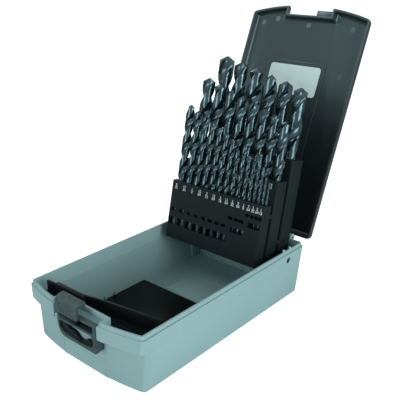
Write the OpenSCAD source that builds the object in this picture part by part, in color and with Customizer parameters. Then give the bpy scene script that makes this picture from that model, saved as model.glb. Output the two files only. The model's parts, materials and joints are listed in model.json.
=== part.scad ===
// Hinged case for a set of twist drills, with a stand that tips up as the lid opens.
// Millimetres. Origin at the centre of the tray's flat bottom, +Z up, latch towards -Y.
// Drawn with the lid open and the stand up.

/* [Tray] */
// Width over the rim
case_w = 111; // [109:0.5:114]
// Length of the rim, from the front corners' line to the back
case_l = 176; // [175:0.5:180]
// How far the middle of the front bows out
front_bow = 8; // [6:0.5:9]
// Height of the tray
tray_h = 45; // [44:0.5:46]
// Thickness of the tray's walls
wall = 2; // [1.8:0.1:2.4]
// How much thicker the walls are below the inner ledge
ledge_w = 0.6; // [0.4:0.1:0.8]
// Thickness of the tray's floor
floor_t = 2; // [1.6:0.1:2.2]
// Radius of the rim's corners
corner_r = 6; // [5.6:0.2:6.6]
// How far each side leans in from the rim to the floor
side_draft = 3.4; // [2.5:0.1:3.6]
// How far the back leans in from the rim to the floor
back_draft = 1; // [0.6:0.1:1.2]
// Height of the front bumper band
band_h = 14; // [12:0.5:15]
// How far the front wall is set back below the band
band_step = 5; // [4:0.2:5.4]
// How far the middle of the lower front wall bows out
low_bow = 6.4; // [5:0.2:7]
// Height of the outer lip of the rim
lip_h = 3.6; // [3:0.2:4]
// How far the lip stands out from the wall
lip_out = 1; // [0.6:0.1:1.2]
// Height of the tongue along the rim
tongue_h = 1.2; // [0.8:0.1:1.3]
// Thickness of the tongue
tongue_t = 1; // [0.8:0.1:1.1]

/* [Lid] */
// Outer depth of the lid
lid_d = 8; // [7.6:0.2:9]
// Thickness of the lid's top
lid_top = 1.8; // [1.4:0.1:2]
// Thickness of the lid's rim
lid_wall = 2.2; // [2.1:0.1:2.6]
// Clearance between the closed rims
rim_gap = 0.15; // [0.1:0.05:0.2]
// How far the lid opens, in degrees
lid_open = 113; // [105:1:113]

/* [Hinge] */
// Distance of the hinge pin behind the rim
hinge_back = 4.4; // [4.2:0.1:5]
// Height of the hinge pin
hinge_z = 42.2; // [41.8:0.1:42.4]
// Distance of each knuckle set from the middle
hinge_x = 30; // [22:1:36]
// Radius of the knuckles
knuckle_r = 3; // [2.8:0.1:3.2]
// Width of the lid's knuckle
knuckle_w = 12; // [9:0.5:14]
// Width of each ear on the tray
ear_w = 6; // [4:0.5:7]
// Diameter of the hinge pins
hinge_pin_d = 2; // [1.6:0.1:2.4]

/* [Latch] */
// Width of the notch in both rims
notch_w = 42; // [41:0.5:44]
// Depth of the notch in the tray's rim
notch_d = 5; // [4:0.5:6]
// Width of the slider's pad
pad_w = 20.6; // [18:0.2:21]
// Place of the pad's left edge when released
pad_x = -15.4; // [-16:0.2:-14.4]
// Travel of the slider
latch_travel = 14; // [12:0.5:15]
// Length of the lug on the lid
lug_l = 14.6; // [10:0.2:14.8]
// Height of the lug
lug_h = 2.4; // [2:0.1:2.6]

/* [Stand] */
// How far the raised stand leans back, in degrees
stand_lean = 12; // [10:0.5:12]
// Distance from the rim's side to the stand
stand_side = 10; // [9:0.1:10]
// Thickness of the front, middle and back tiers
tier_t = [10.5, 13, 15];
// Height of each tier's deck along the lean
deck_v = [45, 62.5, 78];
// Height of each tier's underside along the lean
base_v = [-2.5, -5.3, -5.3];
// Gap between neighbouring tiers
tier_gap = 3; // [2.6:0.1:3]
// Distance of the stand's pivot behind the front face
pivot_u = 31.3; // [31:0.1:31.6]
// Height of the pivot along the lean
pivot_v = 2.4; // [2:0.1:2.6]
// Distance of the stand's pivot in front of the hinge pin
pivot_back = 24.8; // [24.4:0.1:25.4]
// Height of the pivot above the ground
pivot_z = 35.5; // [35.2:0.1:36]
// Diameter of the pivots
pivot_d = 4.8; // [4:0.1:5.2]
// Radius of the tiers' upright edges
tier_r = 1.8; // [1:0.1:2]

/* [Drills] */
// Space left at each end of the front, middle and back rows
row_margin = [1.6, 2.6, 3.1];
// Thickness of plastic under the drills
socket_floor = 1; // [0.8:0.1:1.2]
// Radial clearance of the sockets
socket_gap = 0.08; // [0.05:0.01:0.1]
// Web at the middle of a drill, as a part of its diameter
web_ratio = 0.3; // [0.24:0.01:0.36]
// Point angle
point_deg = 118; // [110:1:135]
// Helix angle of the flutes
helix_deg = 30; // [26:1:32]

/* [Guard] */
// Height of the guard's shelf
shelf_z = 34; // [32:0.5:35]
// Height of the bar's top edge
bar_z = 43.6; // [42:0.2:43.8]
// Thickness of the bar
bar_t = 1.8; // [1.4:0.1:2.2]
// Thickness of the floor plate
plate_t = 1.6; // [1.4:0.1:1.8]

/* [Hidden] */
$fn = 48;
fine = 96;
eps = 0.01;
inch = 25.4;
far = 400;

// Sizes of the drills in sixty-fourths of an inch, row by row, left to right
row_first = [18, 26, 32];
row_last = [4, 19, 27];
// Overall and flute lengths in inches of the short sizes, from 4/64 up
short_len = [1.875, 2, 2.25, 2.625, 2.75, 2.875, 3.125, 3.25];
short_flute = [0.875, 1, 1.25, 1.5, 1.625, 1.75, 2, 2.125];

function dia(k) = k / 64 * inch;
function overall(k) = inch * (k < 12 ? short_len[k - 4] : 2 + k / 8);
function flute(k) = inch * (k < 12 ? short_flute[k - 4] : round((k - 12) * 1.75 + 37) / 16);
function top(k) = k % 2 == 0 ? top(k / 2) : k;
function bottom(k, n = 64) = k % 2 == 0 ? bottom(k / 2, n / 2) : n;
function drill_name(k) = str("drill_", top(k), "_", bottom(k));
function row_of(k) = k > row_first[1] ? 2 : k > row_first[0] ? 1 : 0;
function sum(v, n = 0) = n < len(v) ? v[n] + sum(v, n + 1) : 0;

DRILLS = [for (k = [4:32]) k];

// ---- places along the case
front_y = -case_l / 2;
back_y = case_l / 2;
hinge_y = back_y + hinge_back;
pivot_y = hinge_y - pivot_back;
half_w = case_w / 2;
stand_w = case_w - 2 * stand_side;
bow_r = (half_w * half_w + front_bow * front_bow) / (2 * front_bow);
bow_y = front_y - front_bow + bow_r;
corner_x = half_w - corner_r;
corner_y = bow_y - sqrt(pow(bow_r - corner_r, 2) - corner_x * corner_x);
notch_y = front_y + 0.6;
band_z = tray_h - band_h;
low_y = front_y - front_bow + band_step;
low_r = (half_w * half_w + low_bow * low_bow) / (2 * low_bow);
wall_in = lip_out + wall;
low_in = wall_in + ledge_w;
ledge_z = tray_h - 11;

// ---- places on the stand
tier_u = [0, tier_t[0] + tier_gap, tier_t[0] + tier_t[1] + 2 * tier_gap];
row_u = [for (r = [0:2]) tier_u[r] + tier_t[r] / 2];
row_sizes = [for (r = [0:2]) [for (k = [row_first[r]:-1:row_last[r]]) k]];
row_gap = [for (r = [0:2]) (stand_w - 2 * row_margin[r] - sum([for (k = row_sizes[r]) dia(k)]))
                           / (len(row_sizes[r]) - 1)];
function drill_x(k) = let (r = row_of(k), bigger = [for (j = row_sizes[r]) if (j > k) dia(j)])
    row_margin[r] - stand_w / 2 + sum(bigger) + len(bigger) * row_gap[r] + dia(k) / 2;
// the three shorter and the four smallest drills stand on raised socket floors
function socket_v(k) = row_of(k) > 0 ? base_v[1] + socket_floor
                     : k > 10 ? base_v[0] + socket_floor : k > 7 ? 5.4 : 15;

// ---- outlines
// The rim's outline, moved inwards by inset
module rim_outline(inset = 0) {
    r = corner_r - inset;
    for (sx = [-1, 1]) {
        translate([sx * corner_x, corner_y]) circle(r);
        translate([sx * corner_x, back_y - corner_r]) circle(r);
    }
    translate([inset - half_w, corner_y]) square([case_w - 2 * inset, back_y - corner_r - corner_y]);
    translate([-corner_x, corner_y]) square([2 * corner_x, back_y - inset - corner_y]);
    // the bow, between the lines from its centre through the corners' centres
    past = 1.1;
    intersection() {
        translate([0, bow_y]) circle(bow_r - inset, $fn = fine);
        polygon([[-corner_x, corner_y], [corner_x, corner_y],
                 [past * corner_x, bow_y - past * (bow_y - corner_y)],
                 [-past * corner_x, bow_y - past * (bow_y - corner_y)]]);
    }
}

// The lower wall's outline: as the rim's, with its front set back behind the band
module low_outline(inset = 0) {
    intersection() {
        rim_outline(inset);
        translate([0, low_y + low_r]) circle(low_r - inset, $fn = fine);
    }
}

// A block over the case's footprint whose sides and back lean out upwards
module draft_block(inset, z0, z1) {
    slope = side_draft / tray_h;
    back_slope = back_draft / tray_h;
    b = half_w - inset;
    y = back_y - inset;
    intersection() {
        rotate([90, 0, 0]) translate([0, 0, -far / 2]) linear_extrude(far)
            polygon([[slope * (tray_h - z0) - b, z0], [b - slope * (tray_h - z0), z0],
                     [b - slope * (tray_h - z1), z1], [slope * (tray_h - z1) - b, z1]]);
        rotate([90, 0, 90]) translate([0, 0, -far / 2]) linear_extrude(far)
            polygon([[-far, z0], [y - back_slope * (tray_h - z0), z0],
                     [y - back_slope * (tray_h - z1), z1], [-far, z1]]);
    }
}

// ---- tray
module tray_shell(inset, z0) {
    intersection() {
        union() {
            translate([0, 0, z0]) linear_extrude(band_z + inset + eps - z0) low_outline(inset);
            translate([0, 0, band_z + inset]) linear_extrude(tray_h - band_z - inset) rim_outline(inset);
        }
        draft_block(inset, z0 - eps, tray_h + eps);
    }
}

rib_w = 1.2;
rib_count = 9;
rib_h = 10;
rib_deep = 3.5;
side_rib = [1.8, 3.6, 12];
side_rib_y = back_y - 15;
foot_h = 4.2;
panel_y = [back_y - 71, back_y - 43];
panel_w = case_w - 57;
panel_h = 0.7;
clip_y = [front_y + 58, front_y + 68];
clip_size = [2.4, 2.6, 2.8];
clip_z = 4.6;
nub_y = [back_y - 25, back_y - 17];

module tray_ribs() {
    side_in = half_w - side_draft - wall_in;
    back_in = back_y - wall_in;
    rib_pitch = (case_w - 8.8) / rib_count;
    z = floor_t - eps;
    // upright ribs beside the stand
    for (sx = [-1, 1])
        translate([sx * (side_in + 0.6) - side_rib[0] / 2, side_rib_y, z]) cube(side_rib);
    // ribs along the back wall
    for (i = [0:rib_count - 1])
        translate([(i - (rib_count - 1) / 2) * rib_pitch - rib_w / 2, back_in - rib_deep + 1, z])
            cube([rib_w, rib_deep, rib_h]);
    // foot ledge under the ribs
    translate([-side_in - 0.5, back_in - rib_deep + 1, z]) cube([2 * side_in + 1, rib_deep, foot_h]);
    // raised panel on the floor
    translate([-panel_w / 2, panel_y[0], z]) cube([panel_w, panel_y[1] - panel_y[0], panel_h]);
    // clips that hold the floor plate down
    for (sx = [-1, 1], y = clip_y)
        translate([sx * (side_in - 0.6) - clip_size[0] / 2, y, clip_z]) cube(clip_size);
}

module rim_tongue() {
    translate([0, 0, tray_h - eps]) linear_extrude(tongue_h + eps) difference() {
        rim_outline(wall_in - tongue_t);
        rim_outline(wall_in);
        translate([-tongue_end, front_y - far]) square([2 * tongue_end, far + front_bow]);
    }
}
tongue_end = notch_w / 2 + lid_wall + 0.3;

ear_clear = 0.2;

function ear_x(side) = side * (knuckle_w / 2 + ear_clear + ear_w / 2);

module tray_ears() {
    for (hx = [-hinge_x, hinge_x], s = [-1, 1]) translate([hx + ear_x(s), 0, 0]) {
        translate([-ear_w / 2, hinge_y, hinge_z]) rotate([0, 90, 0]) cylinder(r = knuckle_r, h = ear_w);
        translate([-ear_w / 2, back_y - 1.5, hinge_z - knuckle_r - 5])
            rotate([90, 0, 90]) linear_extrude(ear_w)
                polygon([[0, 0], [0, 2 * knuckle_r + 4], [hinge_back + 1.5, 2 * knuckle_r + 5],
                         [hinge_back + 1.5, 5]]);
    }
}

stop_t = 1.5;
stop_z = [hinge_z - 9, hinge_z - 2];

// Pads on the back wall that the lid's heels rest against
module stop_pads() {
    for (hx = [-hinge_x, hinge_x])
        translate([hx - knuckle_w / 2 + 1, back_y - stop_t, stop_z[0]])
            cube([knuckle_w - 2, stop_t, stop_z[1] - stop_z[0]]);
}

channel_d = 2;
pocket_z = tray_h - notch_d;

module tray_cavity() {
    intersection() {
        tray_hollow(0);
        translate([-far / 2, -far / 2, floor_t]) cube(far);
    }
}

module base_tray() {
    color("#a3bcc0") difference() {
        union() {
            difference() {
                union() {
                    tray_shell(lip_out, 0);
                    intersection() {
                        translate([0, 0, tray_h - lip_h]) linear_extrude(lip_h) rim_outline();
                        draft_block(0, 0, tray_h + eps);
                    }
                    tray_ears();
                    stop_pads();
                }
                tray_cavity();
            }
            intersection() {
                tray_ribs();
                tray_shell(lip_out + wall / 2, floor_t - 2 * eps);
            }
            rim_tongue();
            // wall behind the latch, from the floor to the rim
            intersection() {
                translate([-notch_w / 2 - wall, notch_y - far, floor_t - eps])
                    cube([notch_w + 2 * wall, far + wall, tray_h - floor_t + eps]);
                tray_shell(lip_out, 0);
            }
            // nubs on the rim beside the stand
            for (sx = [-1, 1], y = nub_y)
                translate([sx * (half_w - wall_in + 0.4), y, tray_h - 1]) cylinder(r = 0.8, h = 1 + tongue_h);
        }
        // the latch's pocket, and the channel under it
        translate([-notch_w / 2, notch_y - far, pocket_z]) cube([notch_w, far, far]);
        translate([-notch_w / 2, notch_y - channel_d - far, -eps]) cube([notch_w, far, tray_h]);
        // hollow behind the channel, so that the wall stays thin
        translate([-notch_w / 2 - wall, notch_y - channel_d + wall, floor_t])
            cube([notch_w + 2 * wall, channel_d, pocket_z - wall - floor_t]);
        // bores of the stand's pivots and of the hinge pins
        translate([-half_w - 1, pivot_y, pivot_z]) rotate([0, 90, 0]) cylinder(d = pivot_d + 0.14, h = case_w + 2);
        for (hx = [-hinge_x, hinge_x])
            translate([hx - pin_len / 2 - 1, hinge_y, hinge_z])
                rotate([0, 90, 0]) cylinder(d = hinge_pin_d, h = pin_len + 2);
    }
}

// ---- lid, drawn closed and then turned open about the hinge
module lid_place() {
    translate([0, hinge_y, hinge_z]) rotate([-lid_open, 0, 0]) translate([0, -hinge_y, -hinge_z]) children();
}

lid_z0 = tray_h + rim_gap;
lid_z1 = tray_h + lid_d;
edge_r = 3;
edge_steps = 5;
// Inset and height of each step of the rounded outer edge
function edge_inset(i) = edge_r * (1 - cos(90 * i / edge_steps));
function edge_rise(i) = edge_r * (1 - sin(90 * i / edge_steps));

module lid_shell() {
    translate([0, 0, lid_z0]) linear_extrude(lid_z1 - edge_r - lid_z0) rim_outline();
    for (i = [1:edge_steps])
        translate([0, 0, lid_z1 - edge_rise(i - 1) - eps])
            linear_extrude(edge_rise(i - 1) - edge_rise(i) + eps) rim_outline(edge_inset(i - 0.5));
}

module lid_knuckles() {
    arm_gap = 0.3;
    for (hx = [-hinge_x, hinge_x]) translate([hx - knuckle_w / 2, 0, 0]) {
        translate([0, hinge_y, hinge_z]) rotate([0, 90, 0]) cylinder(r = knuckle_r, h = knuckle_w);
        // arm from the knuckle up to the lid's back wall
        rotate([90, 0, 90]) linear_extrude(knuckle_w)
            polygon([[back_y + arm_gap, hinge_z], [hinge_y + knuckle_r, hinge_z],
                     [hinge_y + knuckle_r, lid_z0 + 1], [back_y + arm_gap + 1, lid_z1 - 1],
                     [back_y - 1.5, lid_z1 - edge_r], [back_y - 1.5, lid_z0], [back_y + arm_gap, lid_z0]]);
        // heel that stops the lid against the tray's back wall
        translate([2, hinge_y, hinge_z - 1.75]) cube([knuckle_w - 4, heel_l, 2.4]);
    }
}
heel_l = 6.5;

ridge_x = [26 - half_w, half_w - 29.5];
ridge_y = [front_y + 38.5, back_y - 47.5];
ridge_w = 0.8;
ridge_h = 0.5;

module ridge_area(inset) {
    translate([ridge_x[0] + inset, ridge_y[0] + inset])
        square([ridge_x[1] - ridge_x[0] - 2 * inset, ridge_y[1] - ridge_y[0] - 2 * inset]);
}

module lid() {
    color("#2e3a3d") lid_place() difference() {
        union() {
            difference() {
                lid_shell();
                translate([0, 0, lid_z0 - eps]) linear_extrude(lid_d - lid_top - rim_gap + eps)
                    rim_outline(lid_wall);
            }
            // back wall of the latch notch
            intersection() {
                translate([-notch_w / 2 - lid_wall, notch_y - far, lid_z0])
                    cube([notch_w + 2 * lid_wall, far + lid_wall, lid_d - rim_gap]);
                lid_shell();
            }
            // frame of the recessed panel on the inside
            translate([0, 0, lid_z1 - lid_top - ridge_h]) linear_extrude(ridge_h + eps) difference() {
                ridge_area(0);
                ridge_area(ridge_w);
            }
            lid_knuckles();
            // lug that the latch slides over
            translate([notch_w / 2 - lug_l, notch_y - 4.6, lid_z0]) cube([lug_l + eps, 5, lug_h]);
        }
        translate([-notch_w / 2, notch_y - far, lid_z0 + lug_h]) cube([notch_w, far, far]);
        translate([-notch_w / 2, notch_y - far, lid_z0 - 1]) cube([notch_w - lug_l, far, far]);
        translate([notch_w / 2 - lug_l, notch_y - 4.6 - far, lid_z0 - 1]) cube([lug_l, far, far]);
        // rebate for the tray's tongue
        translate([0, 0, lid_z0 - eps]) linear_extrude(tongue_h + 0.15) difference() {
            rim_outline(wall_in - tongue_t - 2 * rim_gap);
            rim_outline(wall_in + 1);
            translate([-notch_w / 2 - lid_wall, front_y - far])
                square([notch_w + 2 * lid_wall, far + 2.6]);
        }
        for (hx = [-hinge_x, hinge_x])
            translate([hx - knuckle_w, hinge_y, hinge_z])
                rotate([0, 90, 0]) cylinder(d = hinge_pin_d + 0.14, h = 2 * knuckle_w);
    }
}

label_size = [ridge_x[1] - ridge_x[0] - 6.5, 25];
label_t = 0.3;
label_r = 2.5;
label_mid = [(ridge_x[0] + ridge_x[1]) / 2 - 1, ridge_y[0] + 15.7];

module lid_label() {
    color("#e8ecec") lid_place()
        translate([label_mid[0], label_mid[1], lid_z1 - lid_top - label_t]) linear_extrude(label_t) {
            square([label_size[0] - 2 * label_r, label_size[1]], center = true);
            square([label_size[0], label_size[1] - 2 * label_r], center = true);
            for (sx = [-1, 1], sy = [-1, 1])
                translate([sx * (label_size[0] / 2 - label_r), sy * (label_size[1] / 2 - label_r)])
                    circle(label_r);
        }
}

pin_len = knuckle_w + 2 * (ear_w + ear_clear);

module hinge_pins() {
    color("#9aa0a2") for (hx = [-hinge_x, hinge_x])
        translate([hx - pin_len / 2, hinge_y, hinge_z])
            rotate([0, 90, 0]) cylinder(d = hinge_pin_d, h = pin_len);
}

// ---- latch
frame_x0 = 4 - notch_w / 2;
frame_x1 = notch_w / 2 - 0.2;
frame_z1 = tray_h - 2;
frame_z0 = frame_z1 - 22.5;
frame_y = front_y - front_bow - 1;
channel_y = notch_y - channel_d;
track_z = [frame_z0 + 10, frame_z0 + 13.5];
window_x = [frame_x0 + 4, frame_x1 - 7.8];
window_z = [frame_z0 + 2.5, frame_z0 + 8.1];
pad_z0 = frame_z1 - 7;
slide_gap = 0.15;

module latch_frame() {
    corner = 4;
    color("#4c5857") difference() {
        union() {
            translate([frame_x0 + corner, frame_y, frame_z0])
                cube([frame_x1 - frame_x0 - corner, channel_y - frame_y - slide_gap / 3, frame_z1 - frame_z0]);
            translate([frame_x0, frame_y, frame_z0 + corner])
                cube([corner + 1, channel_y - frame_y - slide_gap / 3, frame_z1 - frame_z0 - corner]);
            translate([frame_x0 + corner, frame_y, frame_z0 + corner])
                rotate([-90, 0, 0]) cylinder(r = corner, h = channel_y - frame_y - slide_gap / 3);
        }
        // track for the slider's foot, wider behind the face
        translate([frame_x0 + 1.6, frame_y - 1, track_z[0]])
            cube([frame_x1 - frame_x0 - 3.2, far, track_z[1] - track_z[0]]);
        translate([frame_x0 + 1.6, frame_y + 2, track_z[0] - 1])
            cube([frame_x1 - frame_x0 - 3.2, far, track_z[1] - track_z[0] + 2]);
        // window for the spring arm
        translate([window_x[0], frame_y - 1, window_z[0]])
            cube([window_x[1] - window_x[0], far, window_z[1] - window_z[0]]);
    }
}

hook_z = lid_z0 + lug_h + 0.25;
hook_t = 2.2;
pad_t = 2;

module latch_slider() {
    foot_w = pad_w - 3.2;
    color("#57635f") translate([pad_x, 0, 0]) {
        // pad in front of the frame
        translate([0, frame_y - slide_gap - pad_t, pad_z0]) cube([pad_w, pad_t, hook_z + hook_t - pad_z0]);
        // foot through the track, with a wider end behind the face
        translate([1.6, frame_y - slide_gap - pad_t, track_z[0] + slide_gap])
            cube([foot_w, pad_t + 2.6, track_z[1] - track_z[0] - 2 * slide_gap]);
        translate([1.6, frame_y + 2 + slide_gap, track_z[0] - 1 + slide_gap])
            cube([foot_w, 2, track_z[1] - track_z[0] + 2 - 2 * slide_gap]);
        translate([1.6, frame_y - slide_gap - pad_t, track_z[0] + slide_gap])
            cube([foot_w, pad_t, pad_z0 - track_z[0] + 0.5]);
        // raised frame on the pad's face
        translate([3, frame_y - slide_gap - pad_t - 0.4, pad_z0 + 3]) difference() {
            cube([pad_w - 6, 0.8, 7.6]);
            translate([0.8, -1, 0.8]) cube([pad_w - 7.6, 3, 6]);
        }
        // hook over the rim
        translate([0, frame_y - slide_gap - pad_t, hook_z]) cube([pad_w, notch_y - 0.4 - frame_y + pad_t, hook_t]);
    }
}

// Thin arm that bends down, runs along the window and ends in a bulb
module latch_spring() {
    arm_r = 2;
    arm_t = 0.9;
    arm_y = frame_y + 1;
    depth = 3;
    low_z = window_z[0] + 1.2;
    color("#171a1b") translate([0, arm_y + depth, 0]) rotate([90, 0, 0]) linear_extrude(depth) {
        translate([window_x[0] + arm_r + 0.1, window_z[1] - arm_t]) square([10, arm_t]);
        translate([window_x[0] + arm_r + 0.1, window_z[1] - arm_r]) intersection() {
            difference() {
                circle(arm_r);
                circle(arm_r - arm_t);
            }
            translate([-arm_r, -arm_r]) square([arm_r, 2 * arm_r]);
        }
        translate([window_x[0] + arm_r, window_z[1] - 2 * arm_r]) square([16, arm_t]);
        translate([window_x[0] + arm_r + 18, low_z + 1.2]) circle(2.2);
    }
}

// ---- guard for the drill points, and the floor plate
// Middle line of the bar, following the points of the back row
bar_end = half_w - 4.5;
bar_x = [-bar_end, -38, -11, 8, 32, bar_end];
bar_dy = [7.6, 8.2, 10.8, 15.4, 19.4, 22.8];

module bar_line(t) {
    for (i = [0:len(bar_x) - 2]) {
        a = [bar_x[i], front_y + bar_dy[i]];
        b = [bar_x[i + 1], front_y + bar_dy[i + 1]];
        d = (b - a) / norm(b - a);
        n = [d[1], -d[0]] * t;
        polygon([a, b, b + n, a + n]);
        translate(b) circle(r = 0.01);
    }
}

module guard_area() {
    polygon(concat([for (i = [0:len(bar_x) - 1]) [bar_x[i], front_y + bar_dy[i]]],
                   [[bar_x[5], front_y - far], [bar_x[0], front_y - far]]));
}

module guard_inside(gap) {
    difference() {
        tray_hollow(gap);
        translate([-notch_w / 2 - wall - gap, notch_y - far, -eps])
            cube([notch_w + 2 * wall + 2 * gap, far + wall + gap, far]);
    }
}

// The tray's inside, moved inwards by a gap
module tray_hollow(gap) {
    intersection() {
        linear_extrude(ledge_z + gap + eps) low_outline(low_in + gap);
        draft_block(low_in + gap, 0, tray_h + 2);
    }
    intersection() {
        translate([0, 0, ledge_z + gap]) linear_extrude(far) rim_outline(wall_in + gap);
        draft_block(wall_in + gap, 0, tray_h + 2);
    }
}

module tip_guard() {
    shelf_t = 1.8;
    color("#171a1b") intersection() {
        union() {
            translate([0, 0, shelf_z - shelf_t]) linear_extrude(shelf_t) guard_area();
            translate([0, 0, shelf_z - shelf_t]) linear_extrude(bar_z - shelf_z + shelf_t) intersection() {
                guard_area();
                difference() {
                    guard_area();
                    translate([0, -bar_t]) guard_area();
                }
            }
            // thicker part of the bar in front of the largest drills
            translate([-37, front_y + 6.4, shelf_z - eps]) cube([29, 3, bar_z - shelf_z + 0.8]);
            // wall from the shelf down to the floor plate
            translate([0, 0, floor_t + plate_t + 0.2]) linear_extrude(shelf_z - floor_t - plate_t - 1)
                difference() {
                    guard_area();
                    translate([0, -bar_t]) guard_area();
                }
        }
        guard_inside(0.1);
    }
}

plate_l = case_l - 72;

module floor_plate() {
    color("#1c1f20") translate([0, 0, floor_t + 0.2]) intersection() {
        linear_extrude(plate_t) translate([-half_w, front_y - 2]) square([case_w, plate_l]);
        guard_inside(0.2);
    }
}

// ---- stand, drawn upright in its own axes and then leaned back about the pivot
module stand_place() {
    translate([0, pivot_y, pivot_z]) rotate([-stand_lean, 0, 0]) translate([0, -pivot_u, -pivot_v]) children();
}

module tier_block(r) {
    x0 = stand_w / 2 - tier_r;
    h = deck_v[r] - base_v[r];
    translate([0, tier_u[r], base_v[r]]) {
        translate([-stand_w / 2, tier_r, 0]) cube([stand_w, tier_t[r] - 2 * tier_r, h]);
        translate([-x0, 0, 0]) cube([2 * x0, tier_t[r], h]);
        for (sx = [-1, 1], y = [tier_r, tier_t[r] - tier_r]) translate([sx * x0, y, 0]) cylinder(r = tier_r, h = h);
    }
}

module sockets(r) {
    for (k = row_sizes[r])
        translate([drill_x(k), row_u[r], socket_v(k)])
            cylinder(d = dia(k) + 2 * socket_gap, h = far);
}

// Openings in the front tier's face that show the drill shanks
module windows() {
    cut = tier_t[0] / 2;
    for (k = row_sizes[0]) {
        small_v = k > 10 ? 20.4 : k > 7 ? 27.8 : 33.8;
        w = k > 7 ? 4.6 : 3;
        translate([drill_x(k) - w / 2, -1, small_v]) cube([w, cut, 2.4]);
    }
    for (k = [13:18]) translate([drill_x(k) - 2.9, -1, 9]) cube([5.8, cut, 6]);
    translate([drill_x(12) - 2.9, -1, 9.4]) cube([drill_x(11) - drill_x(12) + 7, cut, 5.8]);
    translate([drill_x(10) + 1, -1, 18.5]) cube([13, cut, 4.2]);
    translate([drill_x(7) + 1.6, -1, 26]) cube([10.6, cut, 4.3]);
}

tie_r = 1.8;
tie_root = 0.9;
tie_v = [36, 14];

// Spacers between neighbouring tiers, close to the stand's sides
module ties(r, gap) {
    for (sx = [-1, 1])
        translate([sx * (stand_w / 2 - tie_r - 0.3), tier_u[r + 1] - tier_gap - tie_root, tie_v[r]])
            rotate([-90, 0, 0]) cylinder(r = tie_r + gap, h = tier_gap + 2 * tie_root);
}

module stand_front_tier() {
    color("#16191a") stand_place() difference() {
        tier_block(0);
        sockets(0);
        windows();
        ties(0, eps);
    }
}

module stand_middle_tier() {
    color("#16191a") stand_place() difference() {
        tier_block(1);
        sockets(1);
        ties(0, eps);
        ties(1, eps);
    }
}

module stand_back_tier() {
    color("#16191a") stand_place() difference() {
        tier_block(2);
        sockets(2);
        ties(1, eps);
        pivot_bores();
    }
}

module stand_tie_pins() {
    color("#202425") stand_place() for (r = [0, 1]) ties(r, 0);
}

pivot_root = 1.2;

module pivot_bores() {
    for (sx = [-1, 1])
        translate([sx * (stand_w / 2 - pivot_root / 2 + 0.5), pivot_u, pivot_v])
            rotate([0, 90, 0]) cylinder(d = pivot_d + 0.04, h = pivot_root + 1, center = true);
}

module stand_pivots() {
    reach = half_w - side_draft * (tray_h - pivot_z) / tray_h - lip_out;
    color("#202425") stand_place() for (sx = [-1, 1])
        translate([sx * (stand_w / 2 - pivot_root + reach) / 2, pivot_u, pivot_v]) rotate([0, 90, 0])
            cylinder(d = pivot_d, h = reach - stand_w / 2 + pivot_root, center = true);
}

// ---- drills
slices_per_turn = 8;
point_sink = 0.15;
point_fit = 0.98;
land_fit = 0.99;

// Section of a two-flute drill: two lands joined by a thin web
module flute_section(d) {
    r = land_fit * d / 2;
    w = web_ratio * r;
    polygon([for (s = [0, 180]) for (p = [[r, -6], [r, 22], [r, 50], [0.72 * r, 62], [w, 88]])
             p[0] * [cos(p[1] + s), sin(p[1] + s)]]);
}

module drill(k) {
    d = dia(k);
    point_h = d / 2 / tan(point_deg / 2);
    fl = flute(k) - point_h;
    turns = fl * tan(helix_deg) / (PI * d);
    color("#1d2226") stand_place() translate([drill_x(k), row_u[row_of(k)], socket_v(k)]) {
        cylinder(d = d, h = overall(k) - flute(k));
        translate([0, 0, overall(k) - flute(k)])
            linear_extrude(fl, twist = -360 * turns, slices = ceil(slices_per_turn * turns), $fn = 8)
                flute_section(d);
        translate([0, 0, overall(k) - point_h * (1 + point_sink)]) rotate(360 * turns)
            linear_extrude(point_h * (1 + point_sink), scale = 0.12, slices = 1, $fn = 8)
                flute_section(d * point_fit);
    }
}

base_tray();
lid();
hinge_pins();
latch_frame();
latch_slider();
latch_spring();
tip_guard();
floor_plate();
stand_front_tier();
stand_middle_tier();
stand_back_tier();
stand_tie_pins();
stand_pivots();
lid_label();
for (k = DRILLS) drill(k);
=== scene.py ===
"""Looks of a hinged case for a set of twist drills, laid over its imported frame.

The classes from Tray to Fittings are the sub-assemblies. Each holds its sizes in
millimetres, models its pieces with mesh operators and modifiers, and dresses them in
the finishes of this file.
"""
import enum
import json
import logging
import math
from dataclasses import dataclass

import bmesh
import bpy
from mathutils import Matrix, Vector

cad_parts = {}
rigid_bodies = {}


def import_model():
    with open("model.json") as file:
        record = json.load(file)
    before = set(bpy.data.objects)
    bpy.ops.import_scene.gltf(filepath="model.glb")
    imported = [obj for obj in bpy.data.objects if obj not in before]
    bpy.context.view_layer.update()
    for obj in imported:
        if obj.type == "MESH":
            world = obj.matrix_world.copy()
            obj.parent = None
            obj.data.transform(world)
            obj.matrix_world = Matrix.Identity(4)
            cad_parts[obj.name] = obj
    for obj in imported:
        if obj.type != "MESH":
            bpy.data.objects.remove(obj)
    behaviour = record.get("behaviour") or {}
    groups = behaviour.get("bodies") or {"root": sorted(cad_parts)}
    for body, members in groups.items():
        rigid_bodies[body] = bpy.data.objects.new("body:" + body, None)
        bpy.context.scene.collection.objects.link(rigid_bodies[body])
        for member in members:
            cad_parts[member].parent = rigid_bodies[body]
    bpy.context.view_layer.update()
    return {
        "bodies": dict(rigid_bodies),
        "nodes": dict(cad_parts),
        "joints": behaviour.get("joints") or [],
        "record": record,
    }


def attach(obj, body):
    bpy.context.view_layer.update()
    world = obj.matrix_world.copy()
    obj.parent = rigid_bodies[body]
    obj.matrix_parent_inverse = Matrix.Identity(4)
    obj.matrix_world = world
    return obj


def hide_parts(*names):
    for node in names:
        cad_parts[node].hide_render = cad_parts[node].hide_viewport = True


LOG = logging.getLogger("drill_case")
MM = 0.001
INCH = 25.4

Flat = tuple[float, float]
Point = tuple[float, float, float]
Thing = bpy.types.Object
Socket = bpy.types.NodeSocket


# ---------------------------------------------------------------- finishes


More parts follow.
